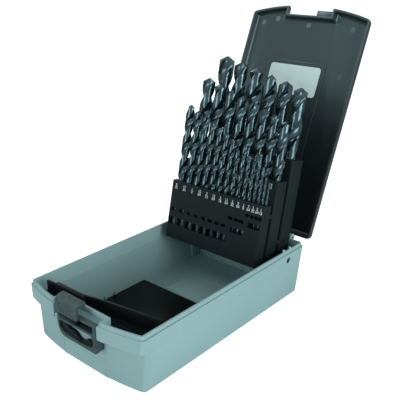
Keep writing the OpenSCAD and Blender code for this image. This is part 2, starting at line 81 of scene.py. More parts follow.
class Grain(enum.Enum):
    """How coarse the moulded grain of a plastic is, as a noise scale in cells per metre."""

    FINE = 2600.0
    COARSE = 1100.0
    SMOOTH = 350.0


# The frame has plain materials under the slots' own names. This keeps the finishes apart from them.
FINISH = "finish_"


@dataclass
class Tree:
    """The node tree of a material or a world, and the steps that wire it."""

    owner: bpy.types.Material | bpy.types.World

    def __post_init__(self) -> None:
        """Turns the owner's nodes on."""
        self.owner.use_nodes = True

    def add(self, kind: str) -> bpy.types.Node:
        """Adds a shader node by its kind."""
        return self.owner.node_tree.nodes.new("ShaderNode" + kind)

    def link(self, source: Socket, target: Socket) -> None:
        """Links one socket to another."""
        self.owner.node_tree.links.new(source, target)

    def shader(self) -> bpy.types.Node:
        """Gives the material's Principled shader."""
        return self.owner.node_tree.nodes["Principled BSDF"]

    def set(self, values: dict[str, object]) -> None:
        """Sets the Principled shader's own sockets, by name."""
        for name, value in values.items():
            self.shader().inputs[name].default_value = value

    def noise(self, scale: float, detail: float) -> Socket:
        """Adds a noise texture on the piece's own coordinates.

        Args:
            scale: cells per metre.
            detail: octaves.

        Returns:
            The noise's factor.
        """
        texture = self.add("TexNoise")
        texture.inputs["Scale"].default_value = scale
        texture.inputs["Detail"].default_value = detail
        self.link(self.add("TexCoord").outputs["Object"], texture.inputs["Vector"])
        return texture.outputs["Fac"]

    def mottle(self, factor: Socket, stops: list[tuple[float, list[float]]]) -> None:
        """Varies the base colour with a factor.

        Args:
            factor: the socket that says how far along the stops a place is.
            stops: the two stops' positions and colours.
        """
        ramp = self.add("ValToRGB")
        for element, (position, colour) in zip(ramp.color_ramp.elements, stops):
            element.position = position
            element.color = (*colour, 1.0)
        self.link(factor, ramp.inputs["Fac"])
        self.link(ramp.outputs["Color"], self.shader().inputs["Base Color"])

    def roughen(self, factor: Socket, low: float, high: float) -> None:
        """Varies the roughness with a factor, from a low value to a high one."""
        rough = self.add("MapRange")
        rough.inputs["To Min"].default_value = low
        rough.inputs["To Max"].default_value = high
        self.link(factor, rough.inputs["Value"])
        self.link(rough.outputs["Result"], self.shader().inputs["Roughness"])

    def bump(self, factor: Socket, height: float) -> None:
        """Turns a factor into a bump of a height in metres."""
        bump = self.add("Bump")
        bump.inputs["Strength"].default_value = 1.0
        bump.inputs["Distance"].default_value = height
        self.link(factor, bump.inputs["Height"])
        self.link(bump.outputs["Normal"], self.shader().inputs["Normal"])

    def rays(self, *kinds: str) -> Socket:
        """Gives a socket that is 1 for a ray of any of the kinds, named as Light Path has them."""
        path = self.add("LightPath")
        found = path.outputs[kinds[0]]
        for kind in kinds[1:]:
            either = self.add("Math")
            either.operation = "MAXIMUM"
            self.link(found, either.inputs[0])
            self.link(path.outputs[kind], either.inputs[1])
            found = either.outputs[0]
        return found


@dataclass(frozen=True)
class Finish:
    """A finish, whose node material is made once."""

    name: str
    colour: Point
    roughness: float = 0.45

    def build(self) -> bpy.types.Material:
        """Makes the node material, or gives the one already made under this name."""
        made = bpy.data.materials.get(FINISH + self.name)
        if made is None:
            made = bpy.data.materials.new(FINISH + self.name)
            self.wire(Tree(made))
        return made

    def shade(self, factor: float) -> list[float]:
        """Gives the colour made darker or lighter."""
        return [min(1.0, c * factor) for c in self.colour]

    def wire(self, tree: Tree) -> None:
        """Wires the material's nodes."""
        raise NotImplementedError


@dataclass(frozen=True)
class Plastic(Finish):
    """A moulded plastic: its colour varies a little, and its grain shows as a bump."""

    grain: Grain = Grain.FINE
    grain_height: float = 0.00003
    variation: float = 0.06
    cells: float = 22.0
    specular: float = 0.4
    sheen: Point = (0.72, 0.96, 1.0)

    def wire(self, tree: Tree) -> None:
        """Wires the mottled colour, the grain and the gloss."""
        low, high = self.shade(1.0 - self.variation), self.shade(1.0 + self.variation)
        tree.mottle(tree.noise(self.cells, 4.0), [(0.3, low), (0.7, high)])
        grain = tree.noise(self.grain.value, 2.0)
        tree.roughen(grain, self.roughness - 0.05, self.roughness + 0.05)
        tree.set({"Specular IOR Level": self.specular, "Specular Tint": (*self.sheen, 1.0)})
        tree.bump(grain, self.grain_height)


@dataclass(frozen=True)
class OxideSteel(Finish):
    """Black-oxide steel: dark, oiled, with fine grinding marks."""

    cells: float = 160.0
    streak: float = 900.0
    streak_height: float = 0.00001
    metallic: float = 0.85

    def wire(self, tree: Tree) -> None:
        """Wires the clouded oxide and the grinding marks."""
        tree.set({"Metallic": self.metallic})
        tree.mottle(tree.noise(self.cells, 5.0), [(0.35, self.shade(0.7)), (0.72, self.shade(1.5))])
        marks = tree.noise(self.streak, 2.0)
        tree.roughen(marks, self.roughness - 0.08, self.roughness + 0.12)
        tree.bump(marks, self.streak_height)


TRAY_BLUE = Plastic("tray_plastic", (0.300, 0.455, 0.460), 0.5, Grain.FINE, 0.00003, 0.03, 22.0, 0.25)
LID_CHARCOAL = Plastic(
    "lid_plastic", (0.0165, 0.0205, 0.0225), 0.30, Grain.FINE, 0.00002, 0.08, 22.0, 0.75, (0.62, 0.94, 1.0)
)
LATCH_GREY = Plastic("latch_plastic", (0.040, 0.066, 0.066), 0.45, Grain.COARSE, 0.00040, 0.42, 520.0, 0.4)
SPRING_BLACK = Plastic("spring_plastic", (0.005, 0.007, 0.008), 0.4, Grain.SMOOTH, 0.00001, 0.1, 22.0, 0.15)
GUARD_BLACK = Plastic("insert_plastic", (0.0070, 0.0085, 0.0095), 0.35, Grain.SMOOTH, 0.00006, 0.15, 22.0, 0.1)
STAND_BLACK = Plastic("stand_plastic", (0.0095, 0.0145, 0.0150), 0.5, Grain.FINE, 0.00003, 0.12, 22.0, 0.12)
LABEL_WHITE = Plastic("label", (0.66, 0.84, 0.82), 0.45, Grain.SMOOTH, 0.00001, 0.02)
PRINT_WHITE = Plastic("size_print", (0.78, 0.86, 0.87), 0.5, Grain.SMOOTH, 0.00001, 0.05)
PIN_STEEL = OxideSteel("pin_steel", (0.42, 0.43, 0.44), 0.35)
DRILL_OXIDE = OxideSteel("black_oxide", (0.054, 0.092, 0.104), 0.16)

SIDES = (-1, 1)
HINGES = (-30.0, 30.0)  # the x of the middles of the two knuckle sets, in mm
KNUCKLE_R = 3.0


# ---------------------------------------------------------------- modelling tools


def deselect() -> None:
    """Leaves edit mode and deselects every object."""
    if bpy.context.object and bpy.context.object.mode != "OBJECT":
        bpy.ops.object.mode_set(mode="OBJECT")
    bpy.ops.object.select_all(action="DESELECT")


def only(obj: Thing) -> None:
    """Selects one object alone and makes it active."""
    deselect()
    obj.select_set(True)
    bpy.context.view_layer.objects.active = obj


def edit(obj: Thing) -> bmesh.types.BMesh:
    """Enters edit mode on one object and gives its edit mesh."""
    only(obj)
    bpy.ops.object.mode_set(mode="EDIT")
    return bmesh.from_edit_mesh(obj.data)


def place(obj: Thing, matrix: Matrix) -> None:
    """Moves a piece by its mesh, and puts its object at the origin."""
    obj.data.transform(matrix @ obj.matrix_world)
    obj.matrix_world = Matrix.Identity(4)


def settle(obj: Thing) -> None:
    """Puts an object's place into its mesh."""
    only(obj)
    bpy.ops.object.transform_apply(location=True, rotation=True, scale=True)


def join(name: str, parts: list[Thing]) -> Thing:
    """Joins pieces of one material into one object.

    Args:
        name: the joined object's name.
        parts: the pieces.

    Returns:
        The joined object.
    """
    deselect()
    for part in parts:
        part.select_set(True)
    bpy.context.view_layer.objects.active = parts[0]
    if len(parts) > 1:
        bpy.ops.object.join()
    parts[0].name = name
    return parts[0]


def bevel(obj: Thing, width: float, segments: int = 2, angle: float = 40.0) -> None:
    """Rounds an object's sharp edges with an applied Bevel modifier.

    Args:
        obj: the object.
        width: the rounding's width in mm.
        segments: how many faces the rounding has.
        angle: edges sharper than this many degrees are rounded.
    """
    only(obj)
    modifier = obj.modifiers.new("rounding", "BEVEL")
    modifier.width = width * MM
    modifier.segments = segments
    modifier.limit_method = "ANGLE"
    modifier.angle_limit = math.radians(angle)
    modifier.use_clamp_overlap = True
    bpy.ops.object.modifier_apply(modifier=modifier.name)


def cut(obj: Thing, cutter: Thing, operation: str = "DIFFERENCE") -> None:
    """Cuts one object with another, or joins them into one solid, and removes the second.

    Args:
        obj: the object that stays.
        cutter: the object that is used up.
        operation: the Boolean modifier's operation.
    """
    only(obj)
    modifier = obj.modifiers.new("cut", "BOOLEAN")
    modifier.operation = operation
    modifier.solver = "EXACT"
    modifier.use_self = True
    modifier.object = cutter
    bpy.ops.object.modifier_apply(modifier=modifier.name)
    bpy.data.objects.remove(cutter, do_unlink=True)


def smooth(obj: Thing, angle: float = 35.0) -> None:
    """Shades an object smooth across its gentle edges."""
    only(obj)
    bpy.ops.object.shade_smooth_by_angle(angle=math.radians(angle))


def assemble(name: str, parts: list[Thing], angle: float = 35.0) -> Thing:
    """Smooths pieces of one material and joins them under a name."""
    for part in parts:
        smooth(part, angle)
    return join(name, parts)


def round_uprights(obj: Thing, radius: float, segments: int, least: float) -> None:
    """Rounds the edges that rise by more than a least height, in mm.

    Args:
        obj: the object.
        radius: the rounding's radius.
        segments: how many faces the rounding has.
        least: the least height of an edge that is rounded.
    """
    mesh = edit(obj)
    for edge in mesh.edges:
        a, b = (v.co for v in edge.verts)
        edge.select = abs(a.z - b.z) > least * MM
    bmesh.update_edit_mesh(obj.data)
    bpy.ops.mesh.bevel(offset=radius * MM, segments=segments)
    bpy.ops.object.mode_set(mode="OBJECT")


def block(low: Point, high: Point, rounding: float = 0.0, segments: int = 2) -> Thing:
    """Models a block from one corner to the other, in mm.

    Args:
        low: its lowest corner.
        high: its highest corner.
        rounding: the width of its rounded edges.
        segments: the faces of each rounding.

    Returns:
        The block.
    """
    centre = [(a + b) / 2 * MM for a, b in zip(low, high)]
    size = [(b - a) * MM for a, b in zip(low, high)]
    deselect()
    bpy.ops.mesh.primitive_cube_add(size=1.0, location=centre, scale=size)
    obj = bpy.context.object
    settle(obj)
    if rounding:
        bevel(obj, rounding, segments)
    return obj


def rod(centre: Point, radius: float, length: float, axis: str = "Z", sides: int = 32) -> Thing:
    """Models a round rod, in mm.

    Args:
        centre: its middle.
        radius: its radius.
        length: its length.
        axis: the axis that it lies along.
        sides: its number of sides.

    Returns:
        The rod.
    """
    turn = {"X": (0, math.pi / 2, 0), "Y": (math.pi / 2, 0, 0), "Z": (0, 0, 0)}[axis]
    deselect()
    spot = [c * MM for c in centre]
    bpy.ops.mesh.primitive_cylinder_add(
        vertices=sides, radius=radius * MM, depth=length * MM, location=spot, rotation=turn
    )
    settle(bpy.context.object)
    return bpy.context.object


def loft(name: str, rings: list[list[Point]]) -> Thing:
    """Skins a row of rings of equal count, each extruded from the one before, and closes both ends.

    Args:
        name: the object's name.
        rings: the rings' points in mm, in order along the skin.

    Returns:
        The closed shell.
    """
    deselect()
    bpy.ops.mesh.primitive_circle_add(vertices=len(rings[0]), radius=MM, fill_type="NOTHING")
    obj = bpy.context.object
    obj.name = name
    mesh = edit(obj)
    mesh.verts.ensure_lookup_table()
    order = [v.index for v in mesh.verts]
    for vert, spot in zip(mesh.verts, rings[0]):
        vert.co = Vector(spot) * MM
    bpy.ops.mesh.select_all(action="SELECT")
    bpy.ops.mesh.edge_face_add()
    bpy.ops.mesh.select_mode(type="EDGE")
    for ring in rings[1:]:
        mesh = bmesh.from_edit_mesh(obj.data)
        mesh.verts.ensure_lookup_table()
        chosen = set(order)
        for face in mesh.faces:
            face.select = False
        for edge in mesh.edges:
            edge.select = edge.verts[0].index in chosen and edge.verts[1].index in chosen
        bmesh.update_edit_mesh(obj.data)
        bpy.ops.mesh.extrude_edges_move()
        mesh = bmesh.from_edit_mesh(obj.data)
        mesh.verts.ensure_lookup_table()
        fresh = []
        for index in order:
            old = mesh.verts[index]
            fresh.append(next(e.other_vert(old) for e in old.link_edges if e.other_vert(old).select).index)
        for index, spot in zip(fresh, ring):
            mesh.verts[index].co = Vector(spot) * MM
        bmesh.update_edit_mesh(obj.data)
        order = fresh
    bpy.ops.mesh.edge_face_add()
    bpy.ops.mesh.select_all(action="SELECT")
    bpy.ops.mesh.remove_doubles(threshold=0.002 * MM)
    bpy.ops.mesh.normals_make_consistent(inside=False)
    bpy.ops.object.mode_set(mode="OBJECT")
    return obj


def prism(name: str, outline: list[Flat], start: float, end: float) -> Thing:
    """Extrudes an outline of x and z along Y, in mm."""
    return loft(name, [[(x, y, z) for x, z in outline] for y in (start, end)])


def slab(name: str, outline: list[Flat], low: float, high: float) -> Thing:
    """Extrudes an outline of x and y along Z, in mm."""
    return loft(name, [[(x, y, z) for x, y in outline] for z in (low, high)])


def dress(obj: Thing, finish: Finish, body: str, slot: str, *nodes: str) -> None:
    """Gives a piece its finish, its body and the nodes that it stands for.

    Args:
        obj: the piece.
        finish: its finish.
        body: the body that it rides on.
        slot: the record's material slot; not used.
        nodes: the CAD nodes that it replaces.
    """
    obj.data.materials.clear()
    obj.data.materials.append(finish.build())
    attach(obj, body)
    if nodes:
        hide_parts(*nodes)
    LOG.info("%s: %d faces, on %s", obj.name, len(obj.data.polygons), body)


# ---------------------------------------------------------------- outline and places


@dataclass
class Rig:
    """Where the moving bodies turn, read from the frame's joints."""

    joints: dict[str, dict]

    def hinge(self, name: str) -> tuple[Vector, float]:
        """Finds a hinge.

        Args:
            name: the joint's name.

        Returns:
            Its place in mm and its range in radians.
        """
        joint = self.joints[name]
        return Vector(joint["pos_m"]) / MM, math.radians(max(joint["range_deg"]))

    def lid_open(self) -> Matrix:
        """Gives the turn, in metres, from the closed lid as modelled to the open lid."""
        spot, angle = self.hinge("lid_hinge")
        return turn_about(spot, -angle)

    def stand_up(self, pivot: Flat, lean: float) -> Matrix:
        """Places what is modelled in the stand's own axes.

        Args:
            pivot: the pivot's place behind and above the stand's front bottom edge, in mm.
            lean: how far the stand leans back, in degrees.

        Returns:
            The placing matrix, in metres.
        """
        spot, _ = self.hinge("stand_fold")
        lean_back = Matrix.Rotation(-math.radians(lean), 4, "X")
        own = Matrix.Translation(Vector((0, -pivot[0], -pivot[1])) * MM)
        return Matrix.Translation(spot * MM) @ lean_back @ own


def turn_about(spot: Vector, angle: float) -> Matrix:
    """Turns about an axis along X through a place in mm.

    Args:
        spot: a point of the axis.
        angle: the turn in radians.

    Returns:
        The matrix, in metres.
    """
    there = Matrix.Translation(spot * MM)
    return there @ Matrix.Rotation(angle, 4, "X") @ there.inverted()


@dataclass
class Step:
    """One level of the case's skin: where its outline lies at one height, in mm."""

    z: float
    inset: float
    recess: float
    low: float = 0.0


@dataclass
class Outline:
    """The case's outline: straight sides and back, a bowed front with a recess in its middle."""

    half_w: float = 55.5
    front: float = -89.0
    back: float = 88.6
    bow: float = 8.0
    low_middle: float = -90.6
    low_bow: float = 6.4
    draft: float = 3.7
    height: float = 41.0
    notch_half: float = 21.0
    notch_y: float = -87.4
    notch_round: float = 0.7
    corner: float = 3.4
    least_corner: float = 0.4

    def bow_at(self, low: float) -> Flat:
        """Works out the bow, between the rim's at 0 and the lower wall's at 1.

        Args:
            low: how far the bow is the lower wall's.

        Returns:
            The y of its foremost point and its radius.
        """
        rim = (self.front - self.bow, (self.half_w**2 + self.bow**2) / (2 * self.bow))
        wall = (self.low_middle, (self.half_w**2 + self.low_bow**2) / (2 * self.low_bow))
        return tuple(a + (b - a) * low for a, b in zip(rim, wall))

    def ring(self, step: Step, draft: bool = True) -> list[Point]:
        """Draws the outline at one level, anticlockwise from the front right corner.

        Args:
            step: the level.
            draft: whether the sides lean in downwards.

        Returns:
            The ring's points.
        """
        fall = max(0.0, self.height - step.z) / self.height if draft else 0.0
        half = self.half_w - self.draft * fall - step.inset
        back = self.back - fall - step.inset
        middle, radius = self.bow_at(step.low)
        centre = middle + radius
        radius -= step.inset
        r = max(self.corner - step.inset, self.least_corner)
        cx = half - r
        cy = centre - math.sqrt((radius - r) ** 2 - cx**2)
        splay = math.atan2(cx, centre - cy)
        points = arc(cx, cy, r, -math.pi / 2 + splay, 0.0, 8)
        points += [(half, cy + (back - r - cy) * t) for t in (0.25, 0.5, 0.75)]
        points += arc(cx, back - r, r, 0.0, math.pi / 2, 8)
        points += [(cx * t, back) for t in (0.6, 0.2, -0.2, -0.6)]
        points += arc(-cx, back - r, r, math.pi / 2, math.pi, 8)
        points += [(-half, cy + (back - r - cy) * t) for t in (0.75, 0.5, 0.25)]
        points += arc(-cx, cy, r, math.pi, 1.5 * math.pi - splay, 8)
        right = self.notch_side(step, centre, radius)
        points += [(-x, y) for x, y in reversed(right)] + right
        return [(x, y, step.z) for x, y in points]

    def notch_side(self, step: Step, centre: float, radius: float) -> list[Flat]:
        """Draws the right half of the front, from the middle of the recess to the corner.

        Args:
            step: the level.
            centre: the y of the bow's centre.
            radius: the bow's radius.

        Returns:
            The points, to just before the corner's rounding.
        """
        edge = self.notch_half + step.inset
        bow_y = centre - math.sqrt(radius**2 - edge**2)
        floor = step.recess
        soft = min(self.notch_round, abs(floor - bow_y) / 2)
        points = [(edge * t, floor) for t in (0.1, 0.35, 0.6, 0.85)]
        points += [(edge - soft, floor), (edge - 0.3 * soft, floor - 0.3 * soft), (edge, floor - soft)]
        points += [(edge, bow_y + soft), (edge + 0.3 * soft, bow_y + 0.3 * soft)]
        end = (self.half_w - self.draft - 7.0) if step.low else (self.half_w - 7.0)
        for i in range(9):
            x = edge + soft + (end - edge - soft) * i / 8
            points.append((x, centre - math.sqrt(radius**2 - x**2)))
        return points


def arc(x: float, y: float, r: float, start: float, end: float, count: int) -> list[Flat]:
    """Draws an arc.

    Args:
        x: the centre's x.
        y: the centre's y.
        r: the radius.
        start: the first point's angle in radians.
        end: the last point's angle in radians.
        count: the number of points.

    Returns:
        The points, in order.
    """
    angles = [start + (end - start) * i / (count - 1) for i in range(count)]
    return [(x + r * math.cos(a), y + r * math.sin(a)) for a in angles]


# ---------------------------------------------------------------- the tray


@dataclass
class Tray:
    """The pale tray: its shell, ribs, clips and hinge ears."""

    outline: Outline
    rig: Rig
    band_z: float = 31.0
    ledge_z: float = 34.0
    pocket_z: float = 40.0
    floor_z: float = 2.0
    channel: float = 2.0
    wall: float = 2.0
    ridge_z: float = 43.8
    ridge: Flat = (1.3, 3.0)
    clip_y: Flat = (-30.0, -20.0)

    def outer_steps(self) -> list[Step]:
        """Lists the levels of the outside, from the bottom to the rim's tongue."""
        back = self.outline.notch_y
        deep = back - self.channel
        rim, out, top = self.outline.height, self.ridge[0], self.ridge_z
        return [
            Step(0.0, 1.0, deep, 1.0),
            Step(0.25, 0.35, deep, 1.0),
            Step(1.0, 0.0, deep, 1.0),
            Step(self.band_z - 0.5, 0.0, deep, 1.0),
            Step(self.band_z - 0.1, 0.0, deep, 0.9),
            Step(self.band_z, 0.05, deep, 0.15),
            Step(self.band_z + 0.4, 0.0, deep),
            Step(self.pocket_z - 0.3, 0.0, deep),
            Step(self.pocket_z, 0.0, deep + 0.3),
            Step(self.pocket_z + 0.01, 0.0, back),
            Step(rim - 0.3, 0.0, back),
            Step(rim - 0.05, 0.15, back),
            Step(rim, 0.35, back),
            Step(rim, out - 0.15, back + 0.02),
            Step(rim + 0.15, out, back + 0.04),
            Step(top - 0.35, out + 0.05, back + 0.05),
            Step(top - 0.1, out + 0.2, back + 0.15),
            Step(top, out + 0.45, back + 0.35),
        ]

    def inner_steps(self) -> list[Step]:
        """Lists the levels of the tongue and the inside, from the rim down to the floor."""
        back = self.outline.notch_y + self.wall
        low_wall = back - self.channel
        return [
            Step(self.ridge_z, 2.6, back - 0.3),
            Step(self.ridge_z - 0.12, 2.85, back - 0.1),
            Step(self.ridge_z - 0.4, 3.0, back),
            Step(self.ledge_z + 0.3, 3.0, back),
            Step(self.ledge_z, 3.2, low_wall, 0.4),
            Step(self.ledge_z - 0.5, 3.6, low_wall, 1.0),
            Step(self.floor_z + 1.0, 3.6, low_wall, 1.0),
            Step(self.floor_z + 0.3, 3.9, low_wall, 1.0),
            Step(self.floor_z, 4.6, low_wall + 0.8, 1.0),
        ]

    def shell(self) -> Thing:
        """Models the shell with its pivot holes."""
        rings = [self.outline.ring(s) for s in self.outer_steps() + self.inner_steps()]
        shell = loft("tray_shell", rings)
        spot, _ = self.rig.hinge("stand_fold")
        for side in SIDES:
            cut(shell, rod((side * 53, spot.y, spot.z), 2.5, 14, "X"))
        return shell

    def ribs(self) -> list[Thing]:
        """Models the ribs, the raised panel and the plate's clips."""
        side = self.outline.half_w - self.outline.draft - 3.1
        back = self.outline.back - 4.2
        parts = [block((-27, 17, 1.6), (27, 45, 2.7), 0.25)]
        parts.append(block((-side - 1, back - 1.2, 1.6), (side + 1, back + 3, 6.2), 0.4))
        for i in range(-4, 5):
            parts.append(block((i * 11.3 - 0.7, back - 1.2, 1.6), (i * 11.3 + 0.7, back + 2, 12), 0.25))
        for sx in SIDES:
            inner, outer = sorted((sx * (side - 1.2), sx * (side + 3)))
            parts.append(block((inner, 72.8, 1.6), (outer, 76.2, 14), 0.3))
            parts.append(block((inner - 0.5 * sx, 80.5, 1.6), (outer, 81.7, 26), 0.3))
            for y in self.clip_y:
                tip, root = sorted((sx * (side - 2.0), sx * (side + 2)))
                parts.append(block((tip, y, 4.4), (root, y + 2.6, 7.4), 0.5, 3))
        return parts

    def ears(self) -> list[Thing]:
        """Models the hinge ears and the pads that the lid's heels rest against."""
        spot, _ = self.rig.hinge("lid_hinge")
        back = self.outline.back
        parts = []
        for middle in HINGES:
            for side in SIDES:
                x = middle + side * 9.2
                ear = rod((x, spot.y, spot.z), KNUCKLE_R, 6.0, "X", 40)
                web = block(
                    (x - 3, back - 1.9, spot.z - KNUCKLE_R), (x + 3, spot.y + 0.2, self.outline.height)
                )
                cut(ear, web, "UNION")
                bevel(ear, 0.35)
                parts.append(ear)
            parts.append(block((middle - 5, back - 1.6, spot.z - 9), (middle + 5, back, spot.z - 2), 0.3))
        return parts

    def pocket(self) -> list[Thing]:
        """Models the pocket's floor and the wall that shows through the latch's window."""
        half, back = self.outline.notch_half + 0.5, self.outline.notch_y
        return [
            block((-half, back - 6.0, self.pocket_z - 1.4), (half, back + 0.6, self.pocket_z), 0.25),
            block((-16.2, back - 5.8, 21.4), (19.6, back - 1.6, self.ledge_z), 0.2),
            block((-half, back - 7.6, self.band_z), (-17.1, back - 1.6, self.ledge_z - 0.1), 0.25),
        ]

    def nubs(self) -> list[Thing]:
        """Models the small nubs on the rim beside the stand."""
        return [
            block((sx * 53.2 - 0.8, y - 1.0, 42.8), (sx * 53.2 + 0.8, y + 1.0, 45.6), 0.5, 3)
            for sx in SIDES
            for y in (63.0, 71.0)
        ]

    def build(self) -> None:
        """Models and dresses the tray."""
        parts = self.ribs() + self.ears() + self.nubs() + self.pocket()
        tray = assemble("tray", [self.shell(), *parts])
        dress(tray, TRAY_BLUE, "tray", "tray_plastic", "base_tray")


# ---------------------------------------------------------------- the lid


@dataclass
class Lid:
    """The charcoal lid with its lug, knuckles, ejector marks and bare label."""

    outline: Outline
    rig: Rig
    bottom: float = 43.95
    top: float = 52.0
    skin: float = 1.8
    wall: float = 2.2
    edge: float = 5.8
    lug_z: float = 45.15
    marks: tuple[Flat, ...] = (
        (-46.5, -80.0), (-32.8, -84.0), (-1.0, -80.5), (-46.5, -41.0), (40.0, -80.0), (40.0, -41.0)
    )

    def steps(self) -> list[Step]:
        """Lists the levels of the lid's skin, from the middle of its top to its ceiling."""
        back = self.outline.notch_y
        rounded = []
        for i in range(7):
            a = math.pi / 2 * i / 6
            drop = self.edge * (1 - math.sin(a))
            turn = self.edge * (1 - math.cos(a))
            rounded.insert(0, Step(self.top - drop, turn, back + turn * 0.4))
        under = back + self.wall
        ceiling = self.top - self.skin
        rim = [
            Step(self.bottom + 0.3, 0.0, back),
            Step(self.bottom + 0.05, 0.12, back + 0.12),
            Step(self.bottom, 0.35, back + 0.35),
            Step(self.bottom, 1.5, back + 1.5),
            Step(self.bottom + 0.25, 1.9, back + 1.9),
            Step(self.bottom + 1.2, self.wall, under),
            Step(ceiling - 2.6, self.wall + 0.3, under + 0.1),
            Step(ceiling - 1.4, self.wall + 0.8, under + 0.5),
            Step(ceiling - 0.5, self.wall + 1.9, under + 1.4),
            Step(ceiling, self.wall + 3.3, under + 2.6),
        ]
        return rounded + rim

    def shell(self) -> Thing:
        """Models the closed lid's shell, hollowed where the tray's ears turn."""
        shell = loft("lid_shell", [self.outline.ring(s, draft=False) for s in self.steps()])
        spot, _ = self.rig.hinge("lid_hinge")
        for middle in HINGES:
            for side in SIDES:
                cut(shell, rod((middle + side * 9.3, spot.y, spot.z), KNUCKLE_R + 0.3, 6.4, "X"))
        return shell

    def trims(self) -> list[Thing]:
        """Models the lug, the panel's frame, the snaps and the ejector marks inside."""
        ceiling = self.top - self.skin
        back = self.outline.notch_y
        parts = [block((6.4, back - 4.6, self.lug_z), (21.2, back + 1.0, self.lug_z + 2.4), 0.5, 3)]
        frame = block((-29.5, -49.5, ceiling - 0.5), (26, 40.5, ceiling + 0.5))
        cut(frame, block((-28.7, -48.7, ceiling - 2), (25.2, 39.7, ceiling + 2)))
        bevel(frame, 0.2)
        parts.append(frame)
        parts += [rod((x, y, ceiling), 2.2, 0.3, "Z", 28) for x, y in self.marks]
        for sx in SIDES:
            for y in (-22.0, 33.0):
                parts.append(block((sx * 52.6 - 0.9, y - 2.2, 46.6), (sx * 52.6 + 0.9, y + 2.2, 48.4), 0.4))
        return parts

    def knuckles(self) -> list[Thing]:
        """Models the lid's knuckles with their arms and heels."""
        spot, _ = self.rig.hinge("lid_hinge")
        back = self.outline.back
        parts = []
        for middle in HINGES:
            knuckle = rod((middle, spot.y, spot.z), KNUCKLE_R, 12.0, "X", 40)
            arm = block((middle - 6, back + 0.3, spot.z), (middle + 6, spot.y + 3, self.bottom + 1.2))
            cut(knuckle, arm, "UNION")
            brace = block((middle - 6, back - 1.5, self.bottom), (middle + 6, spot.y + 1, self.bottom + 5))
            mesh = edit(brace)
            for vert in mesh.verts:
                if vert.co.y > back * MM and vert.co.z > (self.bottom + 2) * MM:
                    vert.co.y = (back + 1.0) * MM
            bmesh.update_edit_mesh(brace.data)
            cut(knuckle, brace, "UNION")
            heel = block((middle - 4, spot.y, spot.z - 1.75), (middle + 4, spot.y + 6.5, spot.z + 0.65))
            cut(knuckle, heel, "UNION")
            bevel(knuckle, 0.3)
            parts.append(knuckle)
        return parts

    def label(self) -> Thing:
        """Models the bare label with its rounded corners."""
        ceiling = self.top - self.skin
        sheet = block((-27.3, -46.3, ceiling - 0.3), (21.7, -21.3, ceiling))
        round_uprights(sheet, 2.5, 6, 0.2)
        sheet.name = "label_sheet"
        return sheet

    def build(self) -> None:
        """Models and dresses the lid, opened about its hinge."""
        parts = self.trims() + self.knuckles()
        lid = assemble("lid_cover", [self.shell(), *parts])
        place(lid, self.rig.lid_open())
        dress(lid, LID_CHARCOAL, "lid", "lid_plastic", "lid")
        label = self.label()
        place(label, self.rig.lid_open())
        smooth(label)
        dress(label, LABEL_WHITE, "lid", "label", "lid_label")


# ---------------------------------------------------------------- the latch


